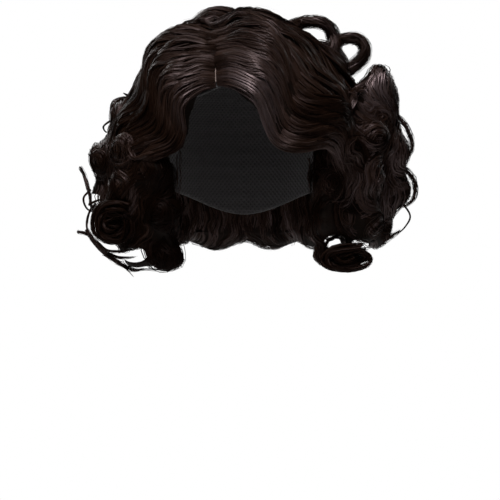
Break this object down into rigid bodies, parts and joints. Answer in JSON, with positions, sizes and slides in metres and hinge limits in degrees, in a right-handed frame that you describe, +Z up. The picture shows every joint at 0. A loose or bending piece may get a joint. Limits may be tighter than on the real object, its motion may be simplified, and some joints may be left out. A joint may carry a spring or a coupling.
{
  "type": "curly bob wig",
  "caption": "Short curly wig with an off-centre parting, waved front, standing crown loops and curled sides, sewn on a hollow stretch cap that fits on a head.",
  "frame": {"origin": "inside of the cap's top, where it sits on the crown of the head", "axes": "+Z up, -Y towards the face, +X towards the wearer's left"},
  "size_m": [0.2638, 0.2468, 0.2161],
  "materials": {
    "cap_net": "matt knitted stretch net",
    "parting_skin": "thin matt scalp cloth",
    "hair_fibre": "heat-set synthetic fibre, soft sheen"
  },
  "bodies": {
    "root": {"wig_cap": "cap_net", "parting_strip": "parting_skin", "front_wave_left": "hair_fibre", "front_wave_right": "hair_fibre", "crown_left": "hair_fibre", "crown_right": "hair_fibre", "back_fall": "hair_fibre", "side_curls_left": "hair_fibre", "side_curls_right": "hair_fibre", "back_curls": "hair_fibre"}
  },
  "joints": []
}
